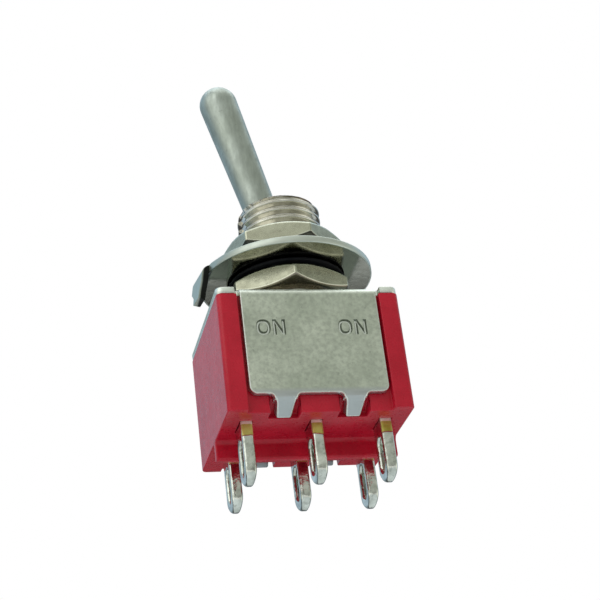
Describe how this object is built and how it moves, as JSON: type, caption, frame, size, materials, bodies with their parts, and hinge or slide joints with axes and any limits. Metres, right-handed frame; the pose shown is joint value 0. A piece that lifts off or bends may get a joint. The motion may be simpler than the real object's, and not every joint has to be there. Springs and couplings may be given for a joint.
{
  "type": "miniature toggle switch",
  "caption": "Miniature panel-mount toggle switch: bat lever in a threaded bushing with nuts and washers, steel frame folded round a red moulded case, slotted solder lugs below.",
  "frame": {"origin": "bushing axis at the frame's top face, where the panel stack starts", "axes": "+Z along the bushing towards the lever's tip; +X across the throw, lever at rest leaning to -X; -Y is the marked flange"},
  "size_m": [0.0132, 0.0122, 0.0327],
  "materials": {
    "case_plastic": "glossy moulded",
    "frame_steel": "satin plated sheet steel",
    "nickel": "nickel-plated, bright",
    "lever_chrome": "bright plated",
    "pin_steel": "bright",
    "washer_steel": "bright plated",
    "spring_steel": "bright",
    "carrier_plastic": "matte moulded",
    "contact_brass": "bright",
    "silver": "silver-faced",
    "tinned_brass": "tinned, bright"
  },
  "bodies": {
    "base": {"case": "case_plastic", "frame": "frame_steel", "bushing": "nickel", "lower_nut": "nickel", "upper_nut": "nickel", "lock_washer": "spring_steel", "tab_washer": "washer_steel", "contact_front_left": "silver", "contact_front_right": "silver", "terminal_front_left": "tinned_brass", "terminal_front_mid": "tinned_brass", "terminal_front_right": "tinned_brass", "contact_back_left": "silver", "contact_back_right": "silver", "terminal_back_left": "tinned_brass", "terminal_back_mid": "tinned_brass", "terminal_back_right": "tinned_brass"},
    "lever": {"lever": "lever_chrome", "lever_pin": "pin_steel"},
    "carrier": {"carrier": "carrier_plastic", "spring_front": "spring_steel", "spring_back": "spring_steel"},
    "plunger_front": {"plunger_front": "contact_brass"},
    "plunger_back": {"plunger_back": "contact_brass"},
    "rocker_front": {"rocker_front": "contact_brass"},
    "rocker_back": {"rocker_back": "contact_brass"}
  },
  "joints": [
    {"name": "lever_tilt", "type": "hinge", "parent": "base", "child": "lever", "pos_m": [0, 0, 0.00415], "axis": [0, 1, 0], "range_deg": [0, 28]},
    {"name": "carrier_slide", "type": "slide", "parent": "base", "child": "carrier", "axis": [1, 0, 0], "range_m": [-0.00298, 0]},
    {"name": "rocker_front_tilt", "type": "hinge", "parent": "base", "child": "rocker_front", "pos_m": [0, -0.0025, -0.00687], "axis": [0, 1, 0], "range_deg": [-14.01, 0]},
    {"name": "rocker_back_tilt", "type": "hinge", "parent": "base", "child": "rocker_back", "pos_m": [0, 0.0025, -0.00687], "axis": [0, 1, 0], "range_deg": [-14.01, 0]},
    {"name": "plunger_front_slide", "type": "slide", "parent": "carrier", "child": "plunger_front", "axis": [0, 0, 1], "range_m": [0, 0.0004], "stiffness_N_per_m": 200, "springref_m": -0.0005, "deforming": ["spring_front"]},
    {"name": "plunger_back_slide", "type": "slide", "parent": "carrier", "child": "plunger_back", "axis": [0, 0, 1], "range_m": [0, 0.0004], "stiffness_N_per_m": 200, "springref_m": -0.0005, "deforming": ["spring_back"]}
  ],
  "couplings": [
    {"joint": "carrier_slide", "follows": "lever_tilt", "m_per_rad": -0.006089},
    {"joint": "rocker_front_tilt", "follows": "lever_tilt", "ratio": -0.5},
    {"joint": "rocker_back_tilt", "follows": "lever_tilt", "ratio": -0.5}
  ]
}
